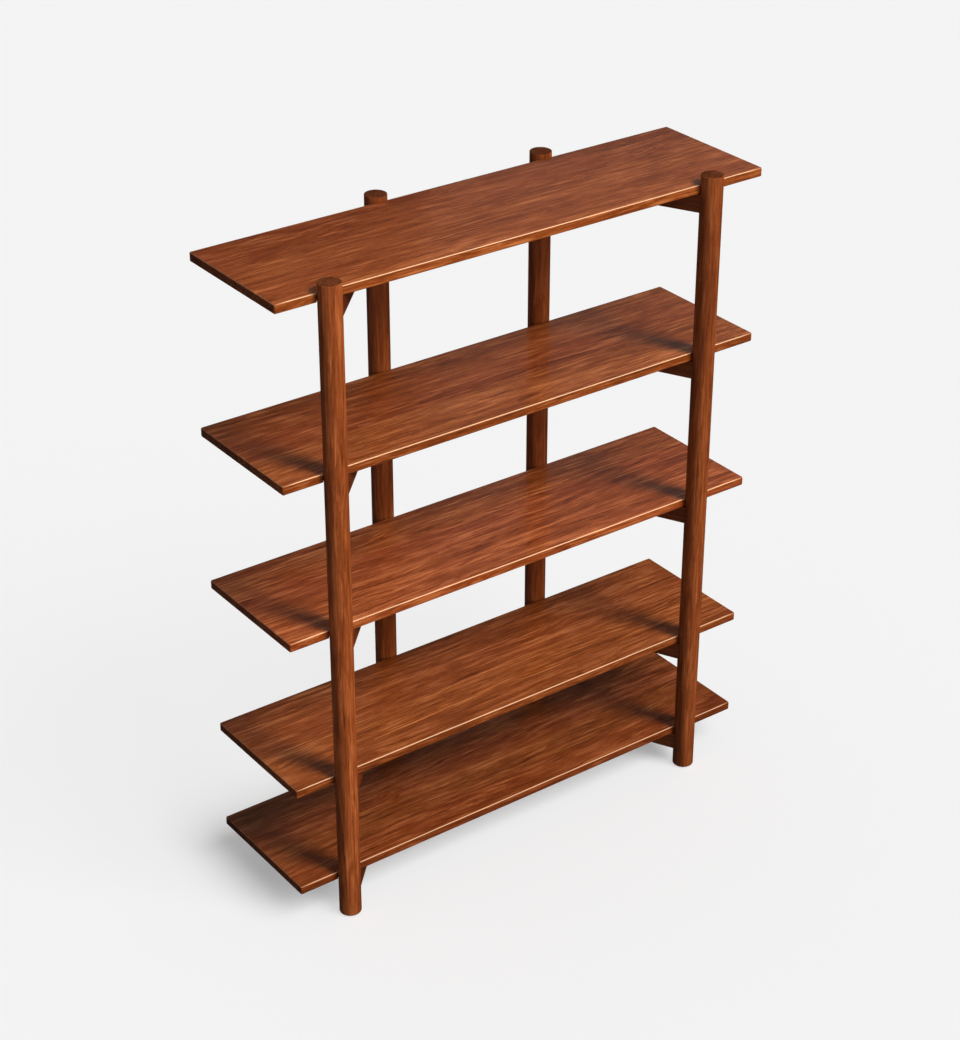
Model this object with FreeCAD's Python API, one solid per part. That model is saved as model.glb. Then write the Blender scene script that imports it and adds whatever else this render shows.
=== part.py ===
import FreeCAD, Part
import math
import os

# Open bookcase in solid wood: five loose boards lie on slanting bearers, and the bearers run
# between four round posts.  The back pair of posts stands closer together than the front pair.
# Millimetres, +Z up, +X to the right, +Y to the back.  The origin is on the floor, under the
# middle of the bookcase's own box.

# Boards
board_length = 1200.0
board_depth = 312.0
board_thickness = 20.0
board_corner_round = 4.0
board_edge_round = 3.0
board_tops = [106.0, 355.0, 712.0, 1068.0, 1448.0]  # height of each upper face, lowest board first

# Posts
post_diameter = 48.0
front_post_x = [-486.0, 450.0]  # left, right
back_post_x = [-150.0, 272.0]  # left, right
front_post_proud = 22.0  # rise above the top board
back_post_proud = 8.0
post_top_chamfer = 1.2
post_foot_round = 2.5
front_notch_depth = 12.0  # how far the boards are let in round the front posts
board_gap = 0.5  # air between a board and any post

# Bearers
bearer_width = 38.0
bearer_depth = 40.0
bearer_edge_round = 1.5

# Dowels between bearers and posts
dowel_diameter = 8.0
dowel_in_post = 17.0
dowel_in_bearer = 24.0
dowel_pitch = 20.0  # from the upper dowel to the lower one
dowel_chamfer = 0.8

# Pins that locate a board on its bearers
pin_diameter = 8.0
pin_in_bearer = 14.0
pin_in_board = 8.0
pin_places = [0.24, 0.76]  # along the bearer, from the front post's axis to the back post's
pin_chamfer = 1.2

# Glides under the posts
glide_diameter = 39.0
glide_thickness = 2.5
glide_round = 0.8
glide_spigot_diameter = 8.0
glide_spigot_length = 18.0

# Fits
glue_room = 0.05  # on the radius of a glued dowel, pin or spigot
pin_room = 0.1  # on the radius of a pin in a loose board
bore_room = 1.0  # left free beyond the end of a dowel, pin or spigot

# Worked out from the sizes above
post_radius = post_diameter / 2
overall_depth = board_depth + 2 * post_diameter - front_notch_depth + board_gap
front_post_y = post_radius - overall_depth / 2
back_post_y = overall_depth / 2 - post_radius
board_front_y = front_post_y + post_radius - front_notch_depth
sides = ["left", "right"]
up = FreeCAD.Vector(0, 0, 1)


def save(name, shape):
    shape.exportStep(os.path.join("parts", name + ".step"))


def bearer_ends(side):
    """Axis of the front post and of the back post on one side, at floor level."""
    front = FreeCAD.Vector(front_post_x[side], front_post_y, 0)
    back = FreeCAD.Vector(back_post_x[side], back_post_y, 0)
    return front, back


def bearer_direction(side):
    front, back = bearer_ends(side)
    return (back - front).normalize()


def bearer_top(level):
    return board_tops[level] - board_thickness


def parallel_edges(shape, direction):
    """Straight edges of a shape that run along a direction."""
    found = []
    for edge in shape.Edges:
        if len(edge.Vertexes) < 2:
            continue
        run = edge.Vertexes[1].Point - edge.Vertexes[0].Point
        if run.Length > 0 and abs(run.normalize().dot(direction)) > 0.999:
            found.append(edge)
    return found


def chamfered_peg(radius, length, chamfer, start, direction):
    """Round peg with both ends chamfered."""
    peg = Part.makeCylinder(radius, length, start, direction)
    rims = [edge for edge in peg.Edges if isinstance(edge.Curve, Part.Circle)]
    return peg.makeChamfer(chamfer, rims)


def dowel_heights(level):
    middle = bearer_top(level) - bearer_depth / 2
    return [middle - dowel_pitch / 2, middle + dowel_pitch / 2]


def dowel_axes(side, place):
    """Start point and direction of each dowel that joins the bearers of one side to one post."""
    front, back = bearer_ends(side)
    inward = bearer_direction(side)
    if place == "back":
        inward = inward * -1
    axis = front if place == "front" else back
    start = axis + inward * (post_radius - dowel_in_post)
    axes = []
    for level in range(len(board_tops)):
        for height in dowel_heights(level):
            axes.append((start + up * height, inward))
    return axes


def pin_points(side):
    """Places of the board pins in plan, along one bearer."""
    front, back = bearer_ends(side)
    return [front + (back - front) * share for share in pin_places]


def make_post(side, place):
    front, back = bearer_ends(side)
    axis = front if place == "front" else back
    proud = front_post_proud if place == "front" else back_post_proud
    length = board_tops[-1] + proud - glide_thickness
    post = Part.makeCylinder(post_radius, length, axis + up * glide_thickness, up)
    rims = [edge for edge in post.Edges if isinstance(edge.Curve, Part.Circle)]
    top_rim = max(rims, key=lambda edge: edge.CenterOfMass.z)
    post = post.makeChamfer(post_top_chamfer, [top_rim])
    rims = [edge for edge in post.Edges if isinstance(edge.Curve, Part.Circle)]
    foot_rim = min(rims, key=lambda edge: edge.CenterOfMass.z)
    post = post.makeFillet(post_foot_round, [foot_rim])
    bores = []
    for start, inward in dowel_axes(side, place):
        bore_start = start - inward * bore_room
        bores.append(Part.makeCylinder(dowel_diameter / 2 + glue_room, post_radius, bore_start, inward))
    spigot_bore = Part.makeCylinder(
        glide_spigot_diameter / 2 + glue_room, glide_spigot_length + bore_room, axis + up * glide_thickness, up
    )
    return post.cut(bores + [spigot_bore])


def make_bearer(side, level):
    """Slanting rail, its ends scribed to the round posts, bored for dowels and pins."""
    front, back = bearer_ends(side)
    along = bearer_direction(side)
    span = (back - front).Length
    blank = Part.makeBox(span, bearer_width, bearer_depth, FreeCAD.Vector(0, -bearer_width / 2, 0))
    blank = blank.makeFillet(bearer_edge_round, parallel_edges(blank, FreeCAD.Vector(1, 0, 0)))
    turn = math.degrees(math.atan2(along.y, along.x))
    blank.rotate(FreeCAD.Vector(0, 0, 0), up, turn)
    blank.translate(front + up * (bearer_top(level) - bearer_depth))
    cutters = []
    for axis in (front, back):
        cutters.append(Part.makeCylinder(post_radius, board_tops[-1], axis, up))
    for place in ("front", "back"):
        for start, inward in dowel_axes(side, place):
            if abs(start.z - bearer_top(level) + bearer_depth / 2) < bearer_depth / 2:
                bore_length = dowel_in_post + dowel_in_bearer + bore_room
                cutters.append(Part.makeCylinder(dowel_diameter / 2 + glue_room, bore_length, start, inward))
    for point in pin_points(side):
        bottom = point + up * (bearer_top(level) - pin_in_bearer - bore_room)
        cutters.append(Part.makeCylinder(pin_diameter / 2 + glue_room, bearer_depth, bottom, up))
    return blank.cut(cutters)


def make_board(level):
    """Board notched round the front posts, with blind holes below for the four pins."""
    underside = board_tops[level] - board_thickness
    corner = FreeCAD.Vector(-board_length / 2, board_front_y, underside)
    board = Part.makeBox(board_length, board_depth, board_thickness, corner)
    board = board.makeFillet(board_corner_round, parallel_edges(board, up))
    board = board.makeFillet(board_edge_round, [edge for edge in board.Edges if is_level(edge)])
    cutters = []
    for side in range(len(sides)):
        front, back = bearer_ends(side)
        cutters.append(Part.makeCylinder(post_radius + board_gap, board_tops[-1] + board_thickness, front, up))
        for point in pin_points(side):
            hole = Part.makeCylinder(
                pin_diameter / 2 + pin_room, pin_in_board + bore_room, point + up * underside, up
            )
            cutters.append(hole)
    return board.cut(cutters)


def is_level(edge):
    """True for an edge that lies at one height."""
    box = edge.BoundBox
    return box.ZLength < 1e-6


def make_dowels(side, place):
    pegs = []
    for start, inward in dowel_axes(side, place):
        length = dowel_in_post + dowel_in_bearer
        pegs.append(chamfered_peg(dowel_diameter / 2, length, dowel_chamfer, start, inward))
    return Part.makeCompound(pegs)


def make_pins(level):
    pegs = []
    for side in range(len(sides)):
        for point in pin_points(side):
            bottom = point + up * (bearer_top(level) - pin_in_bearer)
            pegs.append(chamfered_peg(pin_diameter / 2, pin_in_bearer + pin_in_board, pin_chamfer, bottom, up))
    return Part.makeCompound(pegs)


def make_glide(side, place):
    """Floor glide: a disc with a spigot that is pressed up into the post."""
    front, back = bearer_ends(side)
    axis = front if place == "front" else back
    disc = Part.makeCylinder(glide_diameter / 2, glide_thickness, axis, up)
    rims = [edge for edge in disc.Edges if isinstance(edge.Curve, Part.Circle)]
    floor_rim = min(rims, key=lambda edge: edge.CenterOfMass.z)
    disc = disc.makeFillet(glide_round, [floor_rim])
    spigot_start = axis + up * (glide_thickness / 2)
    spigot_length = glide_spigot_length + glide_thickness / 2
    spigot = Part.makeCylinder(glide_spigot_diameter / 2, spigot_length, spigot_start, up)
    return disc.fuse(spigot).removeSplitter()


os.makedirs("parts", exist_ok=True)
for side, side_name in enumerate(sides):
    for place in ("front", "back"):
        save("post_%s_%s" % (place, side_name), make_post(side, place))
        save("glide_%s_%s" % (place, side_name), make_glide(side, place))
        save("dowels_%s_%s" % (place, side_name), make_dowels(side, place))
    for level in range(len(board_tops)):
        save("bearer_%s_%d" % (side_name, level + 1), make_bearer(side, level))

for level in range(len(board_tops)):
    save("shelf_%d" % (level + 1), make_board(level))
    save("shelf_pins_%d" % (level + 1), make_pins(level))
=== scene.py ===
import math
import random

import bmesh
import bpy
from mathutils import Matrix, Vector


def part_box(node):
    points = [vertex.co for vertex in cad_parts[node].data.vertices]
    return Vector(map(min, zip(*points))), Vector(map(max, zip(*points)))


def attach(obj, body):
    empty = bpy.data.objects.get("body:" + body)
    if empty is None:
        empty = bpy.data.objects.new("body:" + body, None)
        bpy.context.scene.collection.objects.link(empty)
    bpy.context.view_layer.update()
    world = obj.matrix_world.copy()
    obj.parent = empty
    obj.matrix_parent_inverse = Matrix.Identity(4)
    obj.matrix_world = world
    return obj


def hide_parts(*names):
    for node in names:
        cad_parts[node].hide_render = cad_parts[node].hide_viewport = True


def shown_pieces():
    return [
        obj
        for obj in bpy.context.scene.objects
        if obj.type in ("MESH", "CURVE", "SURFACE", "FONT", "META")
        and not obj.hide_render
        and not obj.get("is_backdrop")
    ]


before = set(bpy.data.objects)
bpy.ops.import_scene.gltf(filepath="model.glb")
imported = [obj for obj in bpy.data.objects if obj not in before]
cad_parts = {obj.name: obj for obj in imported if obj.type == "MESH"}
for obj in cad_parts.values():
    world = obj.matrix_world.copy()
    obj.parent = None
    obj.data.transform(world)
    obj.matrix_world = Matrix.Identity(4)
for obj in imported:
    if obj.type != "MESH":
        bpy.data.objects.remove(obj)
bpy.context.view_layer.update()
sides = ("left", "right")
places = ("front", "back")
levels = (1, 2, 3, 4, 5)  # lowest board first
random.seed(11)
print("frame loaded:", len(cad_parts), "parts")


# small helpers for shader trees
def addNode(tree, kind, **settings):
    made = tree.nodes.new(kind)
    for name, value in settings.items():
        setattr(made, name, value)
    return made


def feed(tree, target, value):
    # a socket is linked, a plain value is set on the input itself
    if isinstance(value, bpy.types.NodeSocket):
        tree.links.new(value, target)
    else:
        target.default_value = value


def meshValue(tree, name):
    return addNode(tree, "ShaderNodeAttribute", attribute_name=name).outputs["Fac"]


def mathNode(tree, operation, first, second=0.0, third=None):
    made = addNode(tree, "ShaderNodeMath", operation=operation)
    feed(tree, made.inputs[0], first)
    feed(tree, made.inputs[1], second)
    if third is not None:
        feed(tree, made.inputs[2], third)
    return made.outputs[0]


def vectorNode(tree, operation, first, second):
    made = addNode(tree, "ShaderNodeVectorMath", operation=operation)
    feed(tree, made.inputs[0], first)
    feed(tree, made.inputs[1], second)
    return made.outputs[0]


def joinNode(tree, x=0.0, y=0.0, z=0.0):
    made = addNode(tree, "ShaderNodeCombineXYZ")
    for target, value in zip(made.inputs, (x, y, z)):
        feed(tree, target, value)
    return made.outputs[0]


def splitNode(tree, vector):
    made = addNode(tree, "ShaderNodeSeparateXYZ")
    feed(tree, made.inputs[0], vector)
    return made.outputs


def splitColour(tree, colour):
    made = addNode(tree, "ShaderNodeSeparateColor")
    feed(tree, made.inputs[0], colour)
    return made.outputs


def noiseNode(tree, vector, stretch, detail, roughness, distortion=0.0):
    # stretch is the pattern's pitch per metre along, across and through the grain
    made = addNode(tree, "ShaderNodeTexNoise")
    feed(tree, made.inputs["Vector"], vectorNode(tree, "MULTIPLY", vector, stretch))
    made.inputs["Scale"].default_value = 1.0
    made.inputs["Detail"].default_value = detail
    made.inputs["Roughness"].default_value = roughness
    made.inputs["Distortion"].default_value = distortion
    return made.outputs["Fac"]


def rangeNode(tree, value, source, target=(0.0, 1.0), smooth=False):
    made = addNode(tree, "ShaderNodeMapRange")
    if smooth:
        made.interpolation_type = "SMOOTHSTEP"
    feed(tree, made.inputs["Value"], value)
    made.inputs["From Min"].default_value, made.inputs["From Max"].default_value = source
    made.inputs["To Min"].default_value, made.inputs["To Max"].default_value = target
    return made.outputs["Result"]


def blendNode(tree, amount, first, second):
    made = addNode(tree, "ShaderNodeMix", data_type="RGBA")
    feed(tree, made.inputs[0], amount)
    colours = [socket for socket in made.inputs if socket.type == "RGBA"]
    feed(tree, colours[0], first)
    feed(tree, colours[1], second)
    return [socket for socket in made.outputs if socket.type == "RGBA"][0]


def rampNode(tree, value, colours):
    # the colours are spread evenly from 0 to 1
    made = addNode(tree, "ShaderNodeValToRGB")
    feed(tree, made.inputs[0], value)
    stops = made.color_ramp.elements
    stops[0].position, stops[0].color = 0.0, colours[0]
    stops[1].position, stops[1].color = 1.0, colours[-1]
    for number, colour in enumerate(colours[1:-1], start=1):
        stops.new(number / (len(colours) - 1)).color = colour
    return made.outputs["Color"]


def bumpNode(tree, height, strength, distance):
    made = addNode(tree, "ShaderNodeBump")
    made.inputs["Strength"].default_value = strength
    made.inputs["Distance"].default_value = distance
    feed(tree, made.inputs["Height"], height)
    return made.outputs[0]


def newMaterial(name):
    material = bpy.data.materials.new(name)
    material.use_nodes = True
    return material, material.node_tree, material.node_tree.nodes["Principled BSDF"]


# wood: a tone from 0 to 1 picks a colour between dark, middle and light
boardWood = {
    "staveWidth": 0.078,  # each board is glued up from staves of about this width
    "staveTone": 0.13,  # how much lighter or darker than the middle a stave can be
    "ringPitch": 0.0058,
    "wander": 0.030,  # how far the grain drifts sideways
    "dark": (0.060, 0.0092, 0.0019, 1),
    "middle": (0.200, 0.0385, 0.0068, 1),
    "light": (0.430, 0.128, 0.042, 1),
    # painted highlight: the pale cream of the upper arris stands in for the lamp's glint, with some real
    # rubbing
    "rubbedAndHighlit": (1.0, 0.68, 0.46, 1),
    "wearAndHighlight": 0.78,
    "figure": 0.82,  # strength of the grain
    "jointLine": 0.16,
    "endShade": 0.75,  # end grain drinks more stain
    "paintedFrontLight": 0.12,  # painted light: the strip along the front edge is a little paler
    "paintedFaceShade": 0.84,  # painted shade: and the front face itself a little darker
    "roughness": 0.46,
    "coat": 0.75,
    "coatRoughness": 0.16,
}
postWood = dict(
    boardWood,
    staveWidth=2.0,  # a post is one piece
    staveTone=0.0,
    wander=0.014,
    middle=(0.205, 0.0405, 0.0108, 1),
    light=(0.410, 0.108, 0.035, 1),
    wearAndHighlight=0.0,
    figure=0.7,
    jointLine=0.0,
    endShade=0.45,
    paintedFrontLight=0.0,
    paintedFaceShade=1.0,
    coat=0.12,
    coatRoughness=0.35,
)
bearerWood = dict(postWood, wander=0.012)
woodLayers = {  # pitch per metre along and across the grain, detail and roughness of each noise
    "slow": (1.5, 6.0, 2.0, 0.50),
    "quick": (11.0, 30.0, 3.0, 0.55),
    "broad": (1.6, 30.0, 3.0, 0.55),
    "streak": (4.2, 120.0, 4.0, 0.65),
    "fibre": (12.0, 230.0, 4.0, 0.62),
    "vein": (3.4, 70.0, 3.0, 0.60),
    "fleck": (14.0, 175.0, 3.0, 0.55),
    "thread": (7.0, 200.0, 2.0, 0.50),
    "pore": (40.0, 950.0, 2.0, 0.50),
    "blotch": (7.0, 17.0, 4.0, 0.60),
}
woodFigure = {
    "tone": 0.56,  # the tone before anything is added
    "swings": {"broad": 0.16, "streak": 0.26, "fibre": 0.37},  # lighter and darker
    "blotch": 0.15,
    "veinDark": 0.24,
    "ringDark": 0.15,
    "fleckDark": 0.24,
    "poreDark": 0.25,
    "knotDark": 0.16,
    "threadLight": 0.30,
    "noiseSpan": (0.28, 0.72),  # nearly all noise lies between these
    "veinWidth": 0.032,
    "fleckSpan": (0.60, 0.67),
    "threadSpan": (0.57, 0.64),
    "poreSpan": (0.36, 0.27),
    "calmSpan": (0.35, 0.65),  # veins and rings fade where the broad layer is high
    "calmShare": 0.35,
    "ringRise": (0.25, 0.85),  # late wood darkens slowly and stops short
    "ringFall": (0.88, 1.0),
    "blotchWarp": 0.8,
    "quickShare": 0.28,
    "lean": 0.6,  # sideways drift that also goes into the depth
}
knots = {
    "pitch": (3.6, 11.0, 11.0),  # per metre
    "reach": 0.55,
    "lot": (0.45, 0.8),  # only some of the cells hold one
    "swingOut": 0.016,  # how far the grain goes out round it
}
treePlace = {  # where in the tree a stave comes from, in metres
    "along": 9.0,
    "across": (-0.10, 0.10),
    "fromHeart": (0.035, 0.11),
    "pieceShift": 0.37,  # staves start at another place on every piece
}
woodSurface = {
    "index": 1.48,
    "poreRough": 0.18,
    "endRough": 0.12,
    "endCoat": 0.5,
    "fibreRough": 0.06,
    "fibreRelief": 0.5,
    "bumpStrength": 0.35,
    "bumpDepth": 0.0002,
    "hues": (0.498, 0.506),  # of the staves, where 0.5 leaves the hue as it is
    "paintedLightReach": 0.12,  # width of the strip of painted light along the front edge
    # depth over which the front face takes its painted shade
    "faceReach": 0.004,
    "jointWidth": 0.018,  # as a share of a stave
    "paleJoints": 1.6,  # how much stronger a pale joint is than a dark one
}


def layerNode(tree, vector, name, distortion=0.0):
    along, across, detail, roughness = woodLayers[name]
    return noiseNode(tree, vector, (along, across, across), detail, roughness, distortion)


def swing(tree, value, amount):
    return rangeNode(tree, value, woodFigure["noiseSpan"], (-amount, amount))


def pickStaves(tree, grain, piece, spec):
    # the place across a piece counted in staves, and three random numbers for each stave
    across = mathNode(tree, "DIVIDE", splitNode(tree, grain)["Y"], spec["staveWidth"])
    counted = mathNode(tree, "ADD", across, mathNode(tree, "MULTIPLY", piece, treePlace["pieceShift"]))
    dice = addNode(tree, "ShaderNodeTexWhiteNoise", noise_dimensions="3D")
    feed(tree, dice.inputs["Vector"], joinNode(tree, mathNode(tree, "FLOOR", counted), piece))
    return counted, splitColour(tree, dice.outputs["Color"])


def cutFromTree(tree, grain, rolls):
    # every stave is cut from its own place in the tree
    along = mathNode(tree, "MULTIPLY", rolls[0], treePlace["along"])
    across = rangeNode(tree, rolls[1], (0, 1), treePlace["across"])
    fromHeart = rangeNode(tree, rolls[2], (0, 1), treePlace["fromHeart"])
    return vectorNode(tree, "ADD", grain, joinNode(tree, along, across, fromHeart))


def findKnots(tree, straight):
    cells = addNode(tree, "ShaderNodeTexVoronoi")
    feed(tree, cells.inputs["Vector"], vectorNode(tree, "MULTIPLY", straight, knots["pitch"]))
    cells.inputs["Scale"].default_value = 1.0
    near = rangeNode(tree, cells.outputs["Distance"], (0.0, knots["reach"]), (1.0, 0.0), True)
    chosen = rangeNode(tree, splitColour(tree, cells.outputs["Color"])[0], knots["lot"])
    return mathNode(tree, "MULTIPLY", near, chosen)


def bendGrain(tree, straight, knot, spec):
    # slow and quick noise bend the grain sideways, and it swings out round the knots
    slow = mathNode(tree, "SUBTRACT", layerNode(tree, straight, "slow"), 0.5)
    quick = mathNode(tree, "SUBTRACT", layerNode(tree, straight, "quick"), 0.5)
    drift = mathNode(tree, "MULTIPLY", slow, 2 * spec["wander"])
    drift = mathNode(tree, "MULTIPLY_ADD", quick, woodFigure["quickShare"] * spec["wander"], drift)
    drift = mathNode(tree, "MULTIPLY_ADD", knot, knots["swingOut"], drift)
    deep = mathNode(tree, "MULTIPLY", drift, woodFigure["lean"])
    return vectorNode(tree, "ADD", straight, joinNode(tree, 0.0, drift, deep))


def growthRings(tree, place, spec):
    spot = splitNode(tree, place)
    radius = addNode(tree, "ShaderNodeVectorMath", operation="LENGTH")
    feed(tree, radius.inputs[0], joinNode(tree, 0.0, spot["Y"], spot["Z"]))
    turns = mathNode(tree, "DIVIDE", radius.outputs["Value"], spec["ringPitch"])
    within = mathNode(tree, "FRACT", turns)
    rise = rangeNode(tree, within, woodFigure["ringRise"], (0.0, 1.0), True)
    fall = rangeNode(tree, within, woodFigure["ringFall"], (1.0, 0.0), True)
    return mathNode(tree, "MULTIPLY", rise, fall)


def woodTone(tree, straight, place, knot, spec):
    # streaks, veins, rings, flecks and pores along the grain, then a few blotches
    layers = {}
    tone = woodFigure["tone"]
    for name, amount in woodFigure["swings"].items():
        layers[name] = layerNode(tree, place, name)
        tone = mathNode(tree, "ADD", tone, swing(tree, layers[name], amount))
    calm = rangeNode(tree, layers["broad"], woodFigure["calmSpan"], (1.0, woodFigure["calmShare"]))
    ridge = mathNode(tree, "ABSOLUTE", mathNode(tree, "SUBTRACT", layerNode(tree, place, "vein"), 0.5))
    vein = rangeNode(tree, ridge, (0.0, woodFigure["veinWidth"]), (1.0, 0.0), True)
    ring = growthRings(tree, place, spec)
    fleck = rangeNode(tree, layerNode(tree, place, "fleck"), woodFigure["fleckSpan"])
    thread = rangeNode(tree, layerNode(tree, place, "thread"), woodFigure["threadSpan"])
    pores = rangeNode(tree, layerNode(tree, place, "pore"), woodFigure["poreSpan"])
    for layer, amount in (
        (mathNode(tree, "MULTIPLY", vein, calm), -woodFigure["veinDark"]),
        (mathNode(tree, "MULTIPLY", ring, calm), -woodFigure["ringDark"]),
        (fleck, -woodFigure["fleckDark"]),
        (thread, woodFigure["threadLight"]),
        (pores, -woodFigure["poreDark"]),
        (knot, -woodFigure["knotDark"]),
    ):
        tone = mathNode(tree, "MULTIPLY_ADD", layer, amount, tone)
    blotch = layerNode(tree, straight, "blotch", woodFigure["blotchWarp"])
    tone = mathNode(tree, "ADD", tone, swing(tree, blotch, woodFigure["blotch"]))
    tone = mathNode(tree, "MULTIPLY_ADD", mathNode(tree, "SUBTRACT", tone, 0.5), spec["figure"], 0.5)
    return tone, layers["fibre"], pores


def markJoints(tree, tone, counted, rolls, spec):
    # a thin pale or dark line where two staves meet
    within = mathNode(tree, "FRACT", counted)
    edge = mathNode(tree, "MINIMUM", within, mathNode(tree, "SUBTRACT", 1.0, within))
    joint = rangeNode(tree, edge, (0.0, woodSurface["jointWidth"]), (1.0, 0.0), True)
    amounts = (-spec["jointLine"], spec["jointLine"] * woodSurface["paleJoints"])
    return mathNode(tree, "MULTIPLY_ADD", joint, rangeNode(tree, rolls[1], (0, 1), amounts), tone)


def woodShade(tree, colour, grain, rolls, spec, endGrain):
    # each stave and each piece has its own depth of stain, the piece's value also carrying painted light
    # and shade; the front edge gets painted light on its top strip and painted shade on its face
    across = splitNode(tree, grain)["Y"]
    tones = (1 - spec["staveTone"], 1 + spec["staveTone"])
    brightness = rangeNode(tree, rolls[2], (0, 1), tones)
    # painted light on the strip along the front edge, painted shade on the front face
    lift = rangeNode(tree, across, (0.0, woodSurface["paintedLightReach"]), (1 + spec["paintedFrontLight"], 1.0), True)
    face = rangeNode(tree, across, (0.0, woodSurface["faceReach"]), (spec["paintedFaceShade"], 1.0))
    for share in (meshValue(tree, "stainAndShade"), lift, face, spec["endShade"] if endGrain else 1.0):
        brightness = mathNode(tree, "MULTIPLY", brightness, share)
    shade = addNode(tree, "ShaderNodeHueSaturation")
    feed(tree, shade.inputs["Color"], colour)
    feed(tree, shade.inputs["Value"], brightness)
    feed(tree, shade.inputs["Hue"], rangeNode(tree, rolls[0], (0, 1), woodSurface["hues"]))
    return shade.outputs["Color"]


def makeWood(name, spec, endGrain=False):
    material, tree, shader = newMaterial(name)
    grain = addNode(tree, "ShaderNodeAttribute", attribute_name="grain").outputs["Vector"]
    counted, rolls = pickStaves(tree, grain, meshValue(tree, "piece"), spec)
    straight = cutFromTree(tree, grain, rolls)
    knot = findKnots(tree, straight)
    place = bendGrain(tree, straight, knot, spec)
    tone, fibre, pores = woodTone(tree, straight, place, knot, spec)
    tone = markJoints(tree, tone, counted, rolls, spec)
    colour = rampNode(tree, tone, (spec["dark"], spec["middle"], spec["light"]))
    colour = woodShade(tree, colour, grain, rolls, spec, endGrain)
    rubAndHighlight = mathNode(tree, "MULTIPLY", meshValue(tree, "wearAndHighlight"), spec["wearAndHighlight"])  # painted highlight with some real rubbing: the arrises turn paler
    feed(tree, shader.inputs["Base Color"], blendNode(tree, rubAndHighlight, colour, spec["rubbedAndHighlit"]))

    plain = spec["roughness"] + (woodSurface["endRough"] if endGrain else 0)
    rough = mathNode(tree, "MULTIPLY_ADD", pores, woodSurface["poreRough"], plain)
    rough = mathNode(tree, "ADD", rough, swing(tree, fibre, woodSurface["fibreRough"]))
    feed(tree, shader.inputs["Roughness"], rough)
    shader.inputs["IOR"].default_value = woodSurface["index"]
    shader.inputs["Coat Weight"].default_value = spec["coat"] * (woodSurface["endCoat"] if endGrain else 1)
    shader.inputs["Coat Roughness"].default_value = spec["coatRoughness"]
    relief = mathNode(tree, "MULTIPLY", fibre, woodSurface["fibreRelief"])
    relief = mathNode(tree, "MULTIPLY_ADD", pores, -1.0, relief)
    bump = bumpNode(tree, relief, woodSurface["bumpStrength"], woodSurface["bumpDepth"])
    feed(tree, shader.inputs["Normal"], bump)
    return material


# mesh helpers
def quarter(steps, start=0.0):
    # angles through a quarter turn, in radians, from a start in degrees
    return [math.radians(start + 90 * step / steps) for step in range(steps + 1)]


def bridgeLoops(bm, loops):
    count = len(loops[0])
    for lower, upper in zip(loops, loops[1:]):
        for i in range(count):
            j = (i + 1) % count
            bm.faces.new((lower[i], lower[j], upper[j], upper[i]))
    bm.faces.new(list(reversed(loops[0])))


def meshFrom(bm, name):
    bmesh.ops.recalc_face_normals(bm, faces=bm.faces[:])
    mesh = bpy.data.meshes.new(name)
    bm.to_mesh(mesh)
    bm.free()
    return mesh


def noWearNorHighlight(spot):
    return 0.0


def writeGrain(mesh, pieceNumber, grainOf, stainAndShadeOf, wearAndHighlightOf=noWearNorHighlight):
    # grain: metres along, across and through the wood
    # stain and shade: 1 is the middle shade, stain with painted light and shade mixed in; wear and
    # highlight: 1 on a rubbed arris that also carries a painted highlight
    kinds = {"grain": "FLOAT_VECTOR", "wearAndHighlight": "FLOAT", "piece": "FLOAT", "stainAndShade": "FLOAT"}
    for name, kind in kinds.items():
        mesh.attributes.new(name, kind, "POINT")
    grain, wearAndHighlight, number, stainAndShade = (mesh.attributes[name] for name in kinds)
    for vertex in mesh.vertices:
        grain.data[vertex.index].vector = grainOf(vertex.co)
        wearAndHighlight.data[vertex.index].value = wearAndHighlightOf(vertex.co)
        number.data[vertex.index].value = pieceNumber
        stainAndShade.data[vertex.index].value = stainAndShadeOf(vertex.co)


def smoothByAngle(mesh, degrees):
    for polygon in mesh.polygons:
        polygon.use_smooth = True
    mesh.set_sharp_from_angle(angle=math.radians(degrees))


def finishMesh(name, mesh, materials, body, node):
    piece = bpy.data.objects.new(name, mesh)
    bpy.context.scene.collection.objects.link(piece)
    for material in materials:
        mesh.materials.append(material)
    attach(piece, body)
    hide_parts(node)
    return piece


def postAxis(place, side):
    low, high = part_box("post_%s_%s" % (place, side))
    return Vector(((low.x + high.x) / 2, (low.y + high.y) / 2, 0)), (high.x - low.x) / 2


# boards
boardShape = {
    "cornerRound": 0.004,
    "cornerSteps": 4,
    "leastRound": 0.0002,
    "edgeRound": 0.003,
    "edgeSteps": 6,
    "notchRoom": 0.0005,  # air round the front posts
    "notchSteps": 28,
    "stainAndShades": (0.68, 0.92, 1.0, 0.96, 1.03),  # lowest board first; each board's stain, with painted shade making the lowest board darker
    # painted shade: each board darker towards the back, under the board above
    "paintedBackShade": 0.22,
    "edgeWearAndHighlight": (0.75, 0.9, 1.0, 1.0, 1.0),
    "wornAndHighlitBand": (0.1, 0.6),  # share of the upper rounding that is rubbed and carries the painted highlight, from the top
    "wornAndHighlitCore": (0.2, 0.4),
    "wornAndHighlitRim": 0.5,  # wear and painted highlight on either side of the core
    "endFade": 0.03,  # the arrises are less rubbed and carry less painted highlight this near the ends
    "endReach": 0.027,  # just short of the outline's own points at the fade
    "endWearAndHighlight": 0.2,
    "endFacing": 0.8,  # faces turned this much towards the ends show end grain
    "leastEndArea": 1e-6,
    "smoothAngle": 38,
    "piecePitch": 3.0,  # keeps the staves of one board unlike the next board's
}


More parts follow.
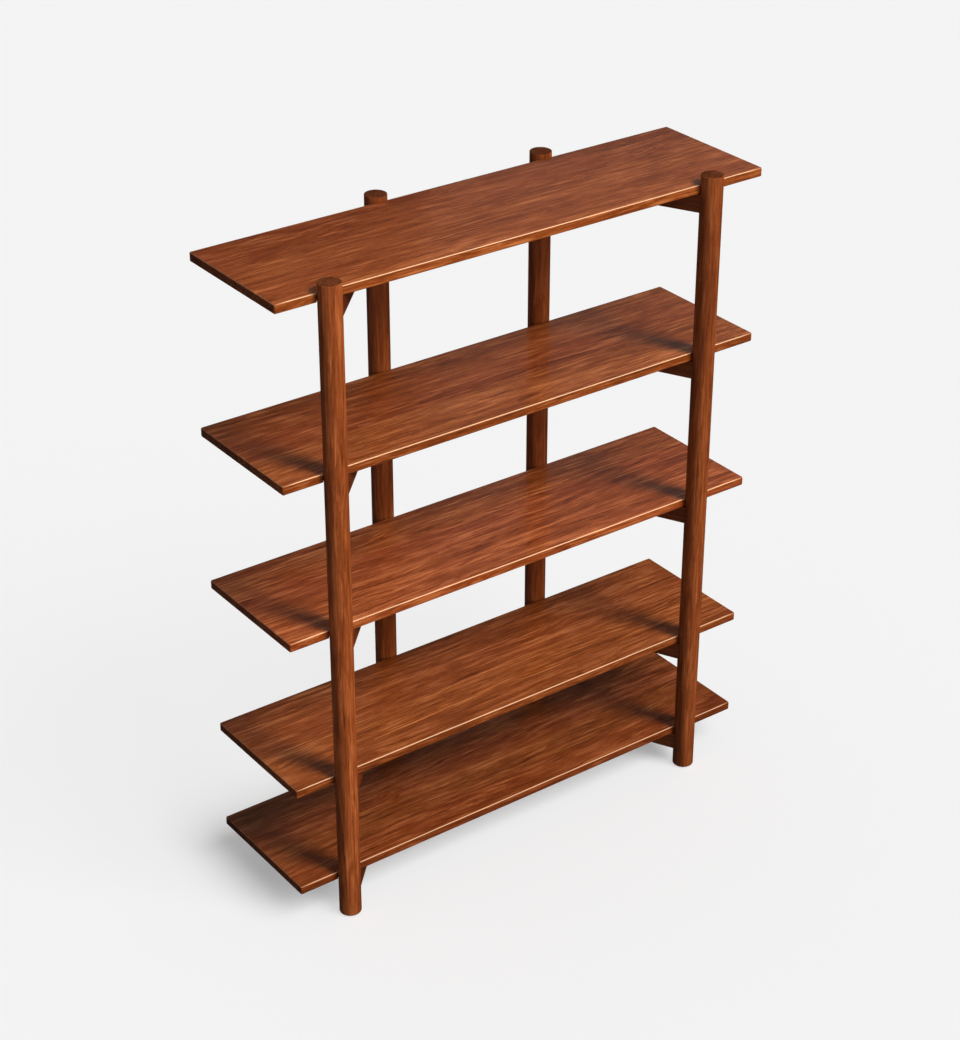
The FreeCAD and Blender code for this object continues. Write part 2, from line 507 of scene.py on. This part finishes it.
def boardOutline(low, high, shrink):
    # plan of a board, drawn in by shrink, with a bay round each front post
    x0, x1, y0, y1 = low.x + shrink, high.x - shrink, low.y + shrink, high.y - shrink
    corner = max(boardShape["cornerRound"] - shrink, boardShape["leastRound"])
    fade = boardShape["endFade"]
    points = [(x0 + fade, y0)]
    for side in sides:
        axis, radius = postAxis("front", side)
        reach = radius + boardShape["notchRoom"] + shrink
        half = math.acos((y0 - axis.y) / reach)
        for step in range(boardShape["notchSteps"] + 1):
            turn = half - 2 * half * step / boardShape["notchSteps"]
            points.append((axis.x - reach * math.sin(turn), axis.y + reach * math.cos(turn)))
        if side == "left":
            points.append((0.0, y0))
    points.append((x1 - fade, y0))
    corners = (
        (x1 - corner, y0 + corner, -90),
        (x1 - corner, y1 - corner, 0),
        (x0 + corner, y1 - corner, 90),
        (x0 + corner, y0 + corner, 180),
    )
    for cx, cy, start in corners:
        if start == 90:
            points += [(x1 - fade, y1), (x0 + fade, y1)]
        for turn in quarter(boardShape["cornerSteps"], start):
            points.append((cx + corner * math.cos(turn), cy + corner * math.sin(turn)))
    return points


def makeBoard(level, materials):
    node = "shelf_%d" % level
    low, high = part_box(node)
    ease = boardShape["edgeRound"]
    turns = quarter(boardShape["edgeSteps"])
    rows = [(ease * (1 - math.sin(turn)), low.z + ease * (1 - math.cos(turn))) for turn in turns]
    rows += [(shrink, low.z + high.z - height) for shrink, height in reversed(rows)]
    bm = bmesh.new()
    loops = []
    for shrink, height in rows:
        outline = boardOutline(low, high, shrink)
        loops.append([bm.verts.new((x, y, height)) for x, y in outline])
    bridgeLoops(bm, loops)
    bm.faces.new(loops[-1])
    mesh = meshFrom(bm, "board%d" % level)

    def grainOf(spot):
        return (spot.x, spot.y - low.y, spot.z - low.z)

    def wearAndHighlightOf(spot):
        # a painted highlight along the middle of the upper arris, with some real rubbing
        depth = (high.z - spot.z) / ease
        bandTop, bandFoot = boardShape["wornAndHighlitBand"]
        coreTop, coreFoot = boardShape["wornAndHighlitCore"]
        if not bandTop < depth < bandFoot:
            return 0.0
        rubbedAndHighlit = boardShape["edgeWearAndHighlight"][level - 1]
        if not coreTop < depth < coreFoot:
            rubbedAndHighlit *= boardShape["wornAndHighlitRim"]
        fromEnd = min(spot.x - low.x, high.x - spot.x)
        return rubbedAndHighlit if fromEnd > boardShape["endReach"] else boardShape["endWearAndHighlight"] * rubbedAndHighlit

    def stainAndShadeOf(spot):
        # painted shade: darker towards the back, and darker on the lowest board
        share = (spot.y - low.y) / (high.y - low.y)
        return boardShape["stainAndShades"][level - 1] * (1 + boardShape["paintedBackShade"] * (0.5 - share))

    writeGrain(mesh, level * boardShape["piecePitch"], grainOf, stainAndShadeOf, wearAndHighlightOf)
    smoothByAngle(mesh, boardShape["smoothAngle"])
    piece = finishMesh("board%d" % level, mesh, materials, "board_%d" % level, node)
    for polygon in mesh.polygons:
        facing = abs(polygon.normal.x) > boardShape["endFacing"]
        if facing and polygon.area > boardShape["leastEndArea"]:
            polygon.material_index = 1
    piece.modifiers.new("evenShading", "WEIGHTED_NORMAL").keep_sharp = True


# posts
postShape = {
    "topEase": 0.0012,
    "topSteps": 3,
    "footEase": 0.0025,
    "footSteps": 4,
    "around": 96,
    "rows": 12,
    "dome": 0.0004,  # the top is very slightly domed
    "domeRing": (0.6, 0.35),  # shares of the radius and of the dome's height
    "paintedFootShade": 0.9,  # painted shade: the feet are darker than the rest
    "footFade": 0.45,
    # painted light and shade: the front left post lighter, the front right and back posts darker
    "stainAndShades": {"frontLeft": 1.12, "frontRight": 0.92, "backLeft": 0.82, "backRight": 0.82},
    "endFacing": 0.9,  # faces turned this much up or down show end grain
    "smoothAngle": 50,
}


def postProfile(radius, bottom, height):
    # radius and height of every ring, from the floor up
    top, foot, dome = postShape["topEase"], postShape["footEase"], postShape["dome"]
    profile = []
    for turn in quarter(postShape["footSteps"]):
        profile.append((radius - foot * (1 - math.sin(turn)), bottom + foot * (1 - math.cos(turn))))
    shaft = height - top - bottom - foot
    for row in range(1, postShape["rows"]):
        profile.append((radius, bottom + foot + shaft * row / postShape["rows"]))
    for turn in quarter(postShape["topSteps"]):
        profile.append((radius - top * (1 - math.cos(turn)), height - dome - top * (1 - math.sin(turn))))
    inward, sunk = postShape["domeRing"]
    profile.append((radius * inward, height - dome * sunk))
    return profile


def makePost(place, side, pieceNumber, materials):
    node = "post_%s_%s" % (place, side)
    low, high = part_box(node)
    axis, radius = postAxis(place, side)
    bm = bmesh.new()
    loops = []
    for reach, height in postProfile(radius, low.z, high.z):
        ring = []
        for i in range(postShape["around"]):
            turn = 2 * math.pi * i / postShape["around"]
            x, y = axis.x + reach * math.cos(turn), axis.y + reach * math.sin(turn)
            ring.append(bm.verts.new((x, y, height)))
        loops.append(ring)
    bridgeLoops(bm, loops)
    crown = bm.verts.new((axis.x, axis.y, high.z))
    last = loops[-1]
    for i in range(len(last)):
        bm.faces.new((last[i], last[(i + 1) % len(last)], crown))
    mesh = meshFrom(bm, node)
    spin = random.uniform(0, 2 * math.pi)

    def grainOf(spot):
        x, y = spot.x - axis.x, spot.y - axis.y
        return (spot.z, x * math.cos(spin) - y * math.sin(spin), x * math.sin(spin) + y * math.cos(spin))

    def stainAndShadeOf(spot):
        # painted shade near the floor on the feet, over each post's painted light and shade
        share = min(1.0, spot.z / postShape["footFade"])
        foot = postShape["paintedFootShade"]
        return postShape["stainAndShades"][place + side.title()] * (foot + (1 - foot) * share)

    writeGrain(mesh, pieceNumber, grainOf, stainAndShadeOf)
    smoothByAngle(mesh, postShape["smoothAngle"])
    for polygon in mesh.polygons:
        if abs(polygon.normal.z) > postShape["endFacing"]:
            polygon.material_index = 1
    finishMesh("post" + place.title() + side.title(), mesh, materials, "stand", node)


# bearers
bearerShape = {"ease": 0.0015, "easeSteps": 3, "rows": 10, "width": 0.038, "stainAndShade": 0.5, "smoothAngle": 50}


def bearerSection(low, high):
    # sideways offset and height of every point round a bearer
    ease, half = bearerShape["ease"], bearerShape["width"] / 2
    section = []
    for cx, cz, start in (
        (half - ease, low.z + ease, -90),
        (half - ease, high.z - ease, 0),
        (-half + ease, high.z - ease, 90),
        (-half + ease, low.z + ease, 180),
    ):
        for turn in quarter(bearerShape["easeSteps"], start):
            section.append((cx + ease * math.cos(turn), cz + ease * math.sin(turn)))
    return section


def makeBearer(side, level, pieceNumber, materials):
    node = "bearer_%s_%d" % (side, level)
    low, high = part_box(node)
    front, radius = postAxis("front", side)
    back = postAxis("back", side)[0]
    run = (back - front).length
    along = (back - front).normalized()
    across = Vector((along.y, -along.x, 0))
    bm = bmesh.new()
    loops = []
    for row in range(bearerShape["rows"] + 1):
        share = row / bearerShape["rows"]
        ring = []
        for offset, height in bearerSection(low, high):
            scribe = math.sqrt(radius**2 - offset**2)  # the ends are hollowed to sit on the posts
            travel = scribe + (run - 2 * scribe) * share
            spot = front + along * travel + across * offset
            ring.append(bm.verts.new((spot.x, spot.y, height)))
        loops.append(ring)
    bridgeLoops(bm, loops)
    bm.faces.new(loops[-1])
    mesh = meshFrom(bm, node)

    def grainOf(spot):
        away = Vector((spot.x, spot.y, 0)) - front
        return (away.dot(along), spot.z - low.z, away.dot(across))

    writeGrain(mesh, pieceNumber, grainOf, lambda spot: bearerShape["stainAndShade"])
    smoothByAngle(mesh, bearerShape["smoothAngle"])
    piece = finishMesh("bearer%s%d" % (side.title(), level), mesh, materials, "stand", node)
    piece.modifiers.new("evenShading", "WEIGHTED_NORMAL").keep_sharp = True


boardMaterials = [makeWood("boardWood", boardWood), makeWood("boardEndGrain", boardWood, True)]
postMaterials = [makeWood("postWood", postWood), makeWood("postEndGrain", postWood, True)]
bearerMaterials = [makeWood("bearerWood", bearerWood)]
for level in levels:
    makeBoard(level, boardMaterials)
print("boards made")
pieceNumber = 40.0
for side in sides:
    for place in places:
        makePost(place, side, pieceNumber, postMaterials)
        pieceNumber += 1
    for level in levels:
        makeBearer(side, level, pieceNumber, bearerMaterials)
        pieceNumber += 1
print("posts and bearers made")


# small hardware: the shapes come from the frame, the finishes are given here
hardware = {
    "dowels": {
        "finish": "dowelBeech",
        "colour": (0.55, 0.36, 0.20),
        "roughness": 0.6,
        "metallic": 0.0,
        "pitch": (400.0, 400.0, 400.0),  # of the mottling, per metre
        "depth": 0.0001,
    },
    "shelf_pins": {
        "finish": "pinSteel",
        "colour": (0.56, 0.55, 0.53),
        "roughness": 0.3,
        "metallic": 1.0,
        "pitch": (900.0, 900.0, 60.0),
        "depth": 0.00005,
    },
    "glide": {
        "finish": "glideNylon",
        "colour": (0.022, 0.015, 0.011),
        "roughness": 0.55,
        "metallic": 0.0,
        "pitch": (700.0, 700.0, 700.0),
        "depth": 0.0001,
    },
}
mottling = {
    "detail": 4.0,
    "noiseRoughness": 0.6,
    "tone": 0.25,  # lighter and darker
    "noiseSpan": (0.3, 0.7),
    "roughSwing": 0.08,
    "bumpStrength": 0.4,
}


def makeFinish(spec):
    material, tree, shader = newMaterial(spec["finish"])
    spot = addNode(tree, "ShaderNodeTexCoord").outputs["Object"]
    mottle = noiseNode(tree, spot, spec["pitch"], mottling["detail"], mottling["noiseRoughness"])
    dark, pale = (
        tuple(min(1, c * (1 + change)) for c in spec["colour"]) + (1,)
        for change in (-mottling["tone"], mottling["tone"])
    )
    feed(tree, shader.inputs["Base Color"], rampNode(tree, mottle, (dark, pale)))
    roughs = (spec["roughness"] - mottling["roughSwing"], spec["roughness"] + mottling["roughSwing"])
    feed(tree, shader.inputs["Roughness"], rangeNode(tree, mottle, mottling["noiseSpan"], roughs))
    shader.inputs["Metallic"].default_value = spec["metallic"]
    feed(tree, shader.inputs["Normal"], bumpNode(tree, mottle, mottling["bumpStrength"], spec["depth"]))
    return material


finishes = {start: makeFinish(spec) for start, spec in hardware.items()}
for name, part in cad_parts.items():
    for start, material in finishes.items():
        if name.startswith(start):
            part.data.materials.clear()
            part.data.materials.append(material)
print("hardware finished")

# floor, light and camera
studio = {
    "floorSize": 60.0,
    "floorGrid": 8,
    "floorColour": (0.90, 0.90, 0.90, 1),
    "ambient": 0.13,
    "reflected": 0.02,
    "horizon": 0.895,  # what is seen beyond the floor
    "keyColour": (1.0, 0.95, 0.83),
    "lowPieces": ("board1", "bearerLeft1", "bearerRight1"),  # the ones that shade the floor
    "feet": ("postFrontLeft", "postFrontRight"),
}
lamps = {  # strength, apparent size, direction to the right of the front, and height, in degrees
    "key": (4.2, 21.0, 23.0, 45.0),
    "low": (1.55, 40.0, 5.0, 8.0),  # level, for the uprights
    "side": (0.35, 60.0, -75.0, 12.0),
    "back": (1.7, 70.0, 158.0, 11.0),
    "floor": (2.2, 48.0, 14.0, 42.0),
    "foot": (1.0, 40.0, 20.0, 42.0),  # shades the floor beside the feet
    "fill": (0.6, 10.0, 0.0, 90.0),  # from above, without a shadow
}
sheenPanel = {
    "power": 1.7,
    "size": (3.0, 1.6),
    "spot": (3.3, 2.4, 3.0),
    "aimedAt": (0.3, 0.0, 0.7),
    "pieces": ("board3", "board4", "board5"),
}


def makeFloor():
    bm = bmesh.new()
    grid = studio["floorGrid"]
    bmesh.ops.create_grid(bm, x_segments=grid, y_segments=grid, size=studio["floorSize"] / 2)
    mesh = bpy.data.meshes.new("studioFloor")
    bm.to_mesh(mesh)
    bm.free()
    floor = bpy.data.objects.new("studioFloor", mesh)
    bpy.context.scene.collection.objects.link(floor)
    material, _, shader = newMaterial("paleFloor")
    shader.inputs["Base Color"].default_value = studio["floorColour"]
    shader.inputs["Roughness"].default_value = 1.0
    shader.inputs["Specular IOR Level"].default_value = 0.0
    mesh.materials.append(material)
    floor.visible_diffuse = False  # it throws no light back on the bookcase
    floor.visible_glossy = False
    floor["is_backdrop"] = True
    return floor


def makeWorld():
    # one strength for what lights the wood, one for what mirrors in it, and one for what is seen
    world = bpy.data.worlds.new("studioAir")
    bpy.context.scene.world = world
    world.use_nodes = True
    tree = world.node_tree
    background = tree.nodes["Background"]
    rays = addNode(tree, "ShaderNodeLightPath")
    glossyGap = studio["reflected"] - studio["ambient"]
    level = mathNode(tree, "MULTIPLY_ADD", rays.outputs["Is Glossy Ray"], glossyGap, studio["ambient"])
    seenGap = studio["horizon"] - studio["ambient"]
    level = mathNode(tree, "MULTIPLY_ADD", rays.outputs["Is Camera Ray"], seenGap, level)
    background.inputs["Color"].default_value = (1, 1, 1, 1)
    feed(tree, background.inputs["Strength"], level)


def makeSun(name, strength, angle, fromRight, height, colour=(1, 1, 1)):
    lamp = bpy.data.lights.new(name, "SUN")
    lamp.energy = strength
    lamp.color = colour
    lamp.angle = math.radians(angle)
    sun = bpy.data.objects.new(name, lamp)
    bpy.context.scene.collection.objects.link(sun)
    turn, lift = math.radians(fromRight), math.radians(height)
    toward = Vector((math.sin(turn) * math.cos(lift), -math.cos(turn) * math.cos(lift), math.sin(lift)))
    sun.rotation_mode = "QUATERNION"
    sun.rotation_quaternion = toward.to_track_quat("Z", "Y")
    return sun


def gather(name, objects):
    group = bpy.data.collections.new(name)
    for item in objects:
        group.objects.link(item)
    return group


def makeLights(floor):
    # soft lamps for the bookcase, and others that only give the floor its faint shadow
    wooden = [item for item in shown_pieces() if item.type == "MESH"]
    bookcase = gather("bookcase", wooden)
    for name in ("key", "low", "side", "back"):
        sun = makeSun(name + "Light", *lamps[name], studio["keyColour"])
        sun.visible_glossy = False
        sun.light_linking.receiver_collection = bookcase
    onlyFloor = gather("litFloor", [floor])
    for name, names in (("floor", studio["lowPieces"]), ("foot", studio["feet"])):
        shading = [item for item in wooden if item.name in names]
        sun = makeSun(name + "Light", *lamps[name])
        sun.light_linking.receiver_collection = onlyFloor
        sun.light_linking.blocker_collection = gather(name + "Shading", shading)
    fill = makeSun("floorFill", *lamps["fill"])
    fill.data.use_shadow = False
    fill.light_linking.receiver_collection = onlyFloor
    makePanel([item for item in wooden if item.name in sheenPanel["pieces"]])


def makePanel(lacquered):
    # a broad dim panel behind, seen only as a sheen on the lacquer
    glow = bpy.data.lights.new("sheenPanel", "AREA")
    glow.shape = "RECTANGLE"
    glow.size, glow.size_y = sheenPanel["size"]
    glow.energy = sheenPanel["power"]
    panel = bpy.data.objects.new("sheenPanel", glow)
    bpy.context.scene.collection.objects.link(panel)
    panel.location = sheenPanel["spot"]
    away = Vector(sheenPanel["spot"]) - Vector(sheenPanel["aimedAt"])
    panel.rotation_mode = "QUATERNION"
    panel.rotation_quaternion = away.to_track_quat("Z", "Y")
    panel.visible_camera = False
    panel.visible_diffuse = False
    panel.light_linking.receiver_collection = gather("boards", lacquered)


cameraPlace = {
    "spot": (-2.6186, -3.5765, 3.2076),
    "heading": 36.06,  # degrees from straight at the front, towards the right
    "dip": 29.25,
    "lens": 81.28,
    "sensor": 36,
}


def makeCamera():
    data = bpy.data.cameras.new("camera")
    data.lens = cameraPlace["lens"]
    data.sensor_width = cameraPlace["sensor"]
    camera = bpy.data.objects.new("camera", data)
    bpy.context.scene.collection.objects.link(camera)
    camera.location = cameraPlace["spot"]
    tilt = math.radians(90 - cameraPlace["dip"])
    camera.rotation_euler = (tilt, 0, math.radians(-cameraPlace["heading"]))
    bpy.context.scene.camera = camera


makeWorld()
makeLights(makeFloor())
makeCamera()
bpy.context.scene.view_settings.view_transform = "Standard"
print("studio ready")
